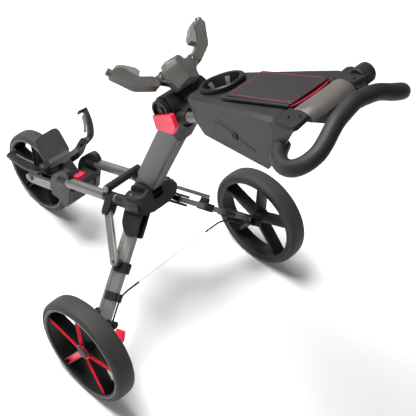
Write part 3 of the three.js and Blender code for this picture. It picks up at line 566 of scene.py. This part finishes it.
FRONT = joint_place("front_wheel_spin")
tyre("front_tyre_foam", FRONT, FRONT_RADIUS, 25, FRONT_RIM, "front_wheel")
rim("front_rim_dish", "front_rim", FRONT, -1, 25, FRONT_RIM, "front_wheel")
spoke_channels("front_spoke_channels", "front_spoke_insert", FRONT, -1, 25, FRONT_RIM, "front_wheel",
               "black_plastic")
# Painted highlight ring along the front rim's lip.
rim_lip_highlight("front_rim_lip_highlight", FRONT, -1, 25, FRONT_RIM, "front_wheel")
skin("front_axle", "dark_steel", 0.6)

# ---------------------------------------------------------------- frame pieces with rounded edges

SKINS = {
    "hub_casting": ("black_plastic", 1.6), "stem_pivot_pin": ("steel", 0.4), "runner": ("black_plastic", 1.2),
    "front_housing": ("charcoal_plastic", 1.6), "latch_button": ("red_plastic", 1.0),
    "cradle_base": ("charcoal_plastic", 1.4), "bag_base_plate": ("plate_grey", 1.6),
    "stem_tube": ("grey_alloy", 0.8), "hinge_barrel": ("charcoal_plastic", 1.4),
    "handle_yoke": ("charcoal_plastic", 1.6), "console_shell": ("charcoal_plastic", 1.2),
}
for node, (material, width) in SKINS.items():
    skin(node, material, width)
for side in ("right", "left"):
    silver = f"silver_{side}"
    for node, material, width in (
        ("leg_tube", silver, 1.6), ("link_bar", silver, 1.4), ("strut", silver, 2.0),
        ("fork_arm", "rail_alloy", 1.4),
        ("handle_tube", "rail_alloy", 0.5), ("leg_collar", "black_plastic", 1.4),
        ("cable_clamp", "black_plastic", 1.2), ("wheel_carrier", "black_plastic", 1.2),
        ("brake_sleeve", "black_plastic", 0.0),
        # The upper pads get a painted sheen: their grey stands in for light on the rubber.
        ("upper_arm", "bracket_grey", 2.0), ("upper_pad", "grey_rubber", 0.5),
    ):
        skin(f"{node}_{side}", material, width)
skin("brake_wire", "bright_wire", 0.0)
skin("brake_pedal", "red_plastic", 1.2)

# The console's inner sockets are drawn in behind its cheeks.
to_handle = HANDLE.inverted()
for vertex in bpy.data.objects["console_shell_skin"].data.vertices:
    p = to_handle @ vertex.co
    reach = math.hypot(p.y + 3, p.z - 417)
    if abs(p.x) > 83 and reach < 20.8:
        p.y = -3 + (p.y + 3) * 0.4
        p.z = 417 + (p.z - 417) * 0.4
        p.x = math.copysign(min(abs(p.x), 110), p.x)
        vertex.co = HANDLE @ p

# ---------------------------------------------------------------- handle grip

GRIP_HALF = [
    (0, 4, 489), (31, 0, 490), (58, -6, 490.5), (78, -14.5, 491), (100, -26, 491), (124, -36, 489),
    (144, -45, 475), (154, -50, 455), (152.5, -51, 433), (141, -48, 409), (122, -43, 391), (98, -36, 381),
]
grip_path = spline([(-x, y, z) for x, y, z in reversed(GRIP_HALF[1:])] + GRIP_HALF, 10)
piece("handle_grip_foam", HANDLE, "black_foam", "handle",
      lambda bm: add_sweep(bm, grip_path, 16.3, 36), ("handle_grip",), smooth_angle=60)


def cheek_build(bm, sign):
    """Raised rear part of the console's side, from its crease to its open rear edge."""
    outline = [
        (386, 17), (441, 5), (431, -5), (421, -14), (400, -33), (379, -53), (350, -74), (319, -95),
        (328, -84), (341, -66), (361, -36), (378, -6),
    ]
    rings = []
    for lift in (-1.0, 1.0):
        row = []
        for z, y in outline:
            wall = 98 + (z - 318) * 0.1724 if z < 376 else 108 + (z - 376) * 0.0656
            raised = 1.2 + 2.6 * min(max((z - 318) / 70, 0), 1)
            row.append(Vector((sign * (wall + (raised if lift > 0 else -1.5)), y, z)))
        rings.append(row)
    add_loft(bm, rings)


def knob_build(bm):
    """Round accessory mount standing at the right rear corner."""
    add_lathe(bm, [(0, 96), (19, 96), (21, 98), (21, 127), (20, 130), (17, 131.5), (0, 131.5)],
              centre=(0, 0, 0), segments=72, closed=False)
    bmesh.ops.transform(bm, matrix=Matrix.Translation((0, 2, 418)), verts=bm.verts)


for side, sign in (("right", 1), ("left", -1)):
    obj = piece(f"console_cheek_{side}", HANDLE, "charcoal_plastic", "handle",
                lambda bm, s=sign: cheek_build(bm, s), smooth_angle=20)
    add_bevel(obj, 0.7)
piece("accessory_knob", HANDLE, "charcoal_plastic", "handle", knob_build)

# ---------------------------------------------------------------- console details


def plate_build(bm, sign):
    """Cover over a rear corner of the console, sloping down to the rear."""
    outline = rounded([
        [64, 392, 3], [110, 387, 4], [115, 395, 4], [115.5, 437, 4], [109, 441, 4], [66, 437, 3],
    ], 4)
    rings = []
    for lift, shrink in ((-9, 1.0), (-1.2, 1.0), (0, 0.975)):
        row = []
        for p in outline:
            x = 89 + (p.x - 89) * shrink
            z = 415 + (p.y - 415) * shrink
            slope = 21 - 2.5 * max(z - 388, 0) / 29 if z < 417 else 18.5 - 11.0 * (z - 417) / 24
            row.append(Vector((sign * x, slope + lift, z)))
        rings.append(row)
    add_loft(bm, rings)


def plate_screws(bm, sign):
    for x, y, z in ((93, 18.6, 412), (79, 13.6, 427)):
        add_screw(bm, (sign * x, y, z), (0, 0.93, 0.36), 3.2, 0.9)


for side, sign in (("right", 1), ("left", -1)):
    obj = piece(f"corner_cover_{side}", HANDLE, "charcoal_plastic", "handle",
                lambda bm, s=sign: plate_build(bm, s))
    add_bevel(obj, 0.8)
    piece(f"corner_screws_{side}", HANDLE, "black_plastic", "handle", lambda bm, s=sign: plate_screws(bm, s))


def rear_cover_build(bm):
    """Rounded cover across the rear between the two corners."""
    section = rounded([
        [398, 4, 0], [398, 18, 3], [416, 18.5, 12], [434, 10, 12], [440, -6, 6], [432, -8, 0],
    ], 6)
    rings = []
    for x, low in ((-64, 1.5), (-62, 0), (-31, 0), (0, 0), (31, 0), (62, 0), (64, 1.5)):
        bow = 4.0 * (1 - (x / 64) ** 2)
        rings.append([Vector((x, max(p.y - low, -8), p.x + bow * (p.x - 398) / 42)) for p in section])
    add_loft(bm, rings)


piece("rear_cover", HANDLE, "warm_grey", "handle", rear_cover_build)


def tray_lip_build(bm):
    points = spline([
        (-57, -2.5, 388), (-40, -2.5, 393.5), (0, -2.5, 396.5), (40, -2.5, 393.5), (57, -2.5, 388),
    ], 8)
    add_sweep(bm, points, 2.2, 12)


piece("tray_rear_lip", LID, "dark_red_plastic", "handle", tray_lip_build)


def hinge_bar_build(bm):
    add_sweep(bm, [Vector((-63, 1.5, z)) for z in (212, 213, 391, 392)], [2.6, 3.6, 3.6, 2.6], 20)


piece("lid_hinge_bar", LID, "black_plastic", "handle", hinge_bar_build)


def wall_at(distance):
    """Half width of the console's side at mid height."""
    if distance < 210:
        return 61 + (distance - 116) * 0.1277
    return 73 + (distance - 210) * 0.2222


def wall_line(bm, sign, points, radius):
    add_sweep(bm, [Vector((sign * (wall_at(z) + 0.2), y, z)) for y, z in points], radius, 8)


def side_details(bm, sign):
    wall_line(bm, sign, [(-14, 175), (-26, 205), (-38, 235), (-50, 263), (-62, 292)], 0.9)
    wall_line(bm, sign, [(-9, 183), (-21, 213), (-33, 243)], 0.7)
    base = Vector((sign * (wall_at(233) - 1), -39, 233))
    out = Vector((sign * 1, 0, -0.2)).normalized()
    across = Vector((0, 1, 0))
    rise = out.cross(across)
    rings = [ring(base + out * h, across, rise, r, 32) for h, r in (
        (0, 9.5), (3.4, 9.2), (4, 8.4), (4, 6.6), (2.6, 6.2), (2.6, 3.2), (3.6, 2.8)
    )]
    add_loft(bm, rings)


for side, sign in (("right", 1), ("left", -1)):
    piece(f"console_slot_{side}", HANDLE, "black_plastic", "handle", lambda bm, s=sign: side_details(bm, s))

CUP = HANDLE @ Matrix.Translation((0, 0, 151.5)) @ Matrix.Rotation(math.radians(90), 4, "Z")


def cup_build(bm):
    add_lathe(bm, [
        (43.2, 33), (48.6, 33), (49.4, 35), (49.4, 42.6), (48, 44), (46.4, 42.4), (44.8, 42.4), (43.4, 44),
        (41.2, 43.6), (40.2, 41), (39.4, -28), (37, -30.4), (16, -31), (16, -34), (41, -34), (42.8, -31),
    ], segments=96)


piece("cup_holder_liner", CUP, "black_plastic", "handle", cup_build, ("cup_holder",))


def finger_build(bm):
    for k in range(6):
        angle = math.radians(30 + 60 * k)
        away = Vector((0, math.cos(angle), math.sin(angle)))
        side_way = Vector((0, -math.sin(angle), math.cos(angle)))
        rings = []
        for x, inset, wide in ((37, 0.6, 6.0), (30, 5.0, 5.6), (21, 8.0, 5.0), (14, 7.4, 4.2)):
            middle = away * (39.8 - inset) + Vector((x, 0, 0))
            rings.append([
                middle + side_way * wide + away * 0.8, middle - side_way * wide + away * 0.8,
                middle - side_way * wide * 0.8 - away * 0.8, middle + side_way * wide * 0.8 - away * 0.8,
            ])
        add_loft(bm, rings)


obj = piece("cup_clip_fingers", CUP, "warm_grey", "handle", finger_build)
add_bevel(obj, 0.4)

# ---------------------------------------------------------------- lower bag arms


def add_band(bm, points, halves, low, high, sign, steps=8):
    """A strip of the given half widths along a curve in the XY plane, from low to high."""
    path = spline([Vector((x, y, 0)) for x, y in points], steps)
    sizes = spline([Vector((h, l, 10.0 * i)) for i, (h, l) in enumerate(zip(halves, low))], steps)
    tops = spline([Vector((h, t, 10.0 * i)) for i, (h, t) in enumerate(zip(halves, high))], steps)
    rings = []
    for i, p in enumerate(path):
        along = (path[min(i + 1, len(path) - 1)] - path[max(i - 1, 0)]).normalized()
        across = Vector((-along.y, along.x, 0)) * sizes[i].x
        a, b = p + across, p - across
        rings.append([
            Vector((sign * a.x, a.y, sizes[i].y)), Vector((sign * b.x, b.y, sizes[i].y)),
            Vector((sign * b.x, b.y, tops[i].y)), Vector((sign * a.x, a.y, tops[i].y)),
        ])
    add_loft(bm, rings)


def lower_arm_build(bm, sign):
    add_band(bm, [(76, -4), (90, -2), (98, 3), (112, 21), (123, 42), (130, 60), (133.5, 72)],
             (7.5, 8, 8.6, 8.2, 7.4, 6.4, 5.6), (-4, -4, -8, -8, -8, -8, -7), (4, 4, 8, 8, 8, 8, 7), sign)
    add_band(bm, [(110, 74.5), (124, 73.5), (139, 72)], (3.4, 3.8, 3.8), (-8, -8, -8), (8, 8, 8), sign)


def lower_pad_build(bm, sign):
    add_band(bm, [(92.4, 18), (98.5, 28.5), (107.5, 41.5), (114.5, 56), (117, 62)],
             (1.6, 1.8, 1.8, 1.8, 1.6), (-6, -6, -6, -6, -6), (6, 6, 6, 6, 6), sign)
    for k in range(9):
        t = k / 8
        x, y = 94.0 + 21.5 * t, 20.5 + 36.0 * t
        bow = 3.0 * 4 * t * (1 - t)
        at = Vector((sign * (x + bow * 0.8 - 1.6), y - bow * 0.5 + 0.6, 0))
        add_sweep(bm, [at + Vector((0, 0, -5.4)), at + Vector((0, 0, 5.4))], 0.9, 8)


for side, sign in (("right", 1), ("left", -1)):
    obj = piece(f"lower_arm_{side}_curve", CRADLE, "charcoal_plastic", f"lower_arm_{side}",
                lambda bm, s=sign: lower_arm_build(bm, s), (f"lower_arm_{side}",))
    add_bevel(obj, 1.2)
    # Ribbed pads in grey: a painted sheen standing in for light on the rubber ribs.
    piece(f"lower_pad_{side}_ribs", CRADLE, "grey_rubber", f"lower_arm_{side}",
          lambda bm, s=sign: lower_pad_build(bm, s), (f"lower_pad_{side}",))

# ---------------------------------------------------------------- cam lever cap


def lever_hub_build(bm):
    add_lathe(bm, [
        (0, -53.2), (24.4, -53.2), (25, -54), (25, -64.4), (24, -65.6), (20, -65.6), (18.6, -60), (0, -60),
    ], segments=72, closed=False)


piece("lever_hub_disc", BARREL, "black_plastic", "lever", lever_hub_build)


def paddle_build(bm):
    outline = rounded([[12, -28, 3], [-28, 26, 4], [-53, 6, 4], [-54, -18, 4], [-11, -53, 4]], 4)
    add_prism(bm, outline, -68.4, -58, "yzx", edge=1.2)


piece("cam_lever_paddle", BARREL, "red_plastic", "lever", paddle_build, ("cam_lever",))


def lever_strip_build(bm):
    outline = rounded([[-51, -13, 2], [-50, 4, 2], [-30, 20, 2], [-26, 14, 2], [-44, 0, 3], [-45, -12, 2]], 4)
    add_prism(bm, outline, -69, -68, "yzx", edge=0.3)


piece("lever_strip", BARREL, "red_bright", "lever", lever_strip_build)

# ---------------------------------------------------------------- upper bag bracket


def facets_build(bm):
    """Creased top of the bracket: two slopes meeting along its middle."""
    outline = rounded([
        [-21, 23, 4], [21, 23, 4], [28, 6, 3], [40, 9, 3], [46, 4, 4], [47, -7, 5], [35, -22, 5],
        [31, -41, 3], [-31, -41, 3], [-35, -22, 5], [-47, -7, 5], [-46, 4, 4], [-40, 9, 3], [-28, 6, 3],
    ], 4)
    rings = [
        [Vector((p.x, p.y, 8.5)) for p in outline],
        [Vector((p.x, p.y, 9.8)) for p in outline],
        [Vector((p.x * 0.04, min(max(p.y, -33), 15), 19)) for p in outline],
    ]
    add_loft(bm, rings)


skin("upper_bag_bracket", "bracket_grey", 1.6)
piece("bracket_facets", BRACKET, "bracket_grey", "stem", facets_build, bevel=0.6, smooth_angle=12)


def pivot_screws(bm, places, height):
    for x, y in places:
        add_screw(bm, (x, y, height), (0, 0, 1), 5.2, 2.6)


piece("arm_pivot_screws", BRACKET, "dark_steel", "stem",
      lambda bm: pivot_screws(bm, [(48, -1), (-48, -1)], 9))
piece("cradle_pivot_screws", CRADLE, "dark_steel", "chassis",
      lambda bm: pivot_screws(bm, [(80, -4), (-80, -4)], 8.5))

# ---------------------------------------------------------------- hub, runner and housing details


def hub_screws(bm):
    for x, y in ((-44, 16), (44, 16)):
        add_screw(bm, (x, y, 22), (0, 0, 1), 4.2, 2.2)


piece("hub_screws", RAIL, "dark_steel", "chassis", hub_screws)


def wing_build(bm, sign):
    """Smooth cover running from the rear shield over one side of the deck."""
    outline = rounded([
        [26, -36, 3], [50, -36, 10], [58, -24, 8], [58, 22, 10], [46, 40, 10], [26, 44, 3],
    ], 6)
    middle_x, middle_y = 42, 4
    foot, front_edge = 4, 44
    rings = []
    for z, shrink in ((foot, 1.0), (15, 1.0), (19, 0.96), (20, 0.88)):
        slope = 0.10 if z > foot else 0.0
        rings.append([
            Vector((
                sign * (middle_x + (p.x - middle_x) * shrink),
                middle_y + (p.y - middle_y) * shrink,
                z + slope * (front_edge - p.y),
            ))
            for p in outline
        ])
    add_loft(bm, rings)


for side, sign in (("right", 1), ("left", -1)):
    piece(f"hub_wing_{side}", RAIL, "black_plastic", "chassis", lambda bm, s=sign: wing_build(bm, s))


def rail_build(bm, sign):
    outer, bore, half_spacing = 14, 11.6, 52
    rear, front = -17.4, 299.8
    add_lathe(bm, [
        (outer, rear), (outer, front - 0.6), (outer - 0.6, front), (bore, front), (bore, rear),
    ], segments=48)
    place = Matrix.Translation((sign * half_spacing, 0, 0)) @ Matrix.Rotation(math.pi / 2, 4, "Z")
    bmesh.ops.transform(bm, matrix=place, verts=bm.verts)


for side, sign in (("right", 1), ("left", -1)):
    piece(f"rail_{side}_pipe", RAIL, "rail_alloy", "chassis", lambda bm, s=sign: rail_build(bm, s),
          (f"rail_{side}",))


def runner_caps(bm):
    for sign in (1, -1):
        add_sweep(bm, [Vector((sign * x, 98, 25)) for x in (55.5, 59, 60.5)], [9.6, 9.6, 8.2], 28)


piece("runner_end_caps", RAIL, "end_cap", "runner", runner_caps)


def spring_build(bm, sign):
    path = []
    for k in range(181):
        angle = 2 * math.pi * 7 * k / 180
        path.append(Vector((sign * 30 + 3.6 * math.cos(angle), 33 + 26 * k / 180, 3 + 3.6 * math.sin(angle))))
    add_sweep(bm, path, 0.7, 8)


for side, sign in (("right", 1), ("left", -1)):
    piece(f"hub_spring_{side}", RAIL, "steel", "chassis", lambda bm, s=sign: spring_build(bm, s))


# ---------------------------------------------------------------- lid


def lid_build(bm):
    outline = rounded([[-56, 214, 8], [56, 214, 8], [60, 392, 14], [-60, 392, 14]], 6)
    add_prism(bm, outline, 0, 4, "xzy", edge=1.0)
    panel = rounded([[-48, 226, 6], [48, 226, 6], [51, 382, 9], [-51, 382, 9]], 6)
    add_prism(bm, panel, 3.6, 4.4, "xzy", edge=0.3)


piece("scorecard_lid_panel", LID, "charcoal_plastic", "lid", lid_build, ("scorecard_lid",))


def border_build(bm):
    line = rounded([[-49.5, 224, 8], [49.5, 224, 8], [52.5, 384, 12], [-52.5, 384, 12]], 8)
    add_sweep(bm, [Vector((p.x, 4.0, p.y)) for p in line], 0.55, 8, closed=True)


piece("lid_border_line", LID, "dark_red_plastic", "lid", border_build)

# ---------------------------------------------------------------- floor and light

stage_mesh = bpy.data.meshes.new("floor")
bm = bmesh.new()
bmesh.ops.create_grid(bm, x_segments=1, y_segments=1, size=12)
bm.to_mesh(stage_mesh)
bm.free()
floor = bpy.data.objects.new("floor", stage_mesh)
bpy.context.scene.collection.objects.link(floor)
floor_material = bpy.data.materials.new("floor")
floor_material.use_nodes = True
floor_material.node_tree.nodes["Principled BSDF"].inputs["Base Color"].default_value = (0.9, 0.9, 0.9, 1)
floor_material.node_tree.nodes["Principled BSDF"].inputs["Roughness"].default_value = 0.9
stage_mesh.materials.append(floor_material)

world = bpy.data.worlds.new("studio")
bpy.context.scene.world = world
world.use_nodes = True
world.node_tree.nodes["Background"].inputs["Color"].default_value = (1, 1, 1, 1)
world.node_tree.nodes["Background"].inputs["Strength"].default_value = 0.17


def softbox(name, place, target, size, power):
    data = bpy.data.lights.new(name, "AREA")
    data.shape = "RECTANGLE"
    data.size, data.size_y = size
    data.energy = power
    light = bpy.data.objects.new(name, data)
    bpy.context.scene.collection.objects.link(light)
    light.location = place
    light.rotation_euler = (Vector(target) - Vector(place)).to_track_quat("-Z", "Y").to_euler()


softbox("key", (-0.5, 0.9, 3.4), (0, 0, 0.5), (1.6, 1.6), 200)
softbox("fill", (-2.6, -0.8, 2.0), (0, 0, 0.5), (2.0, 2.0), 12)
softbox("rim", (0.5, 3.0, 2.4), (0, 0, 0.5), (2.4, 1.6), 55)
bpy.context.scene.view_settings.view_transform = "Standard"
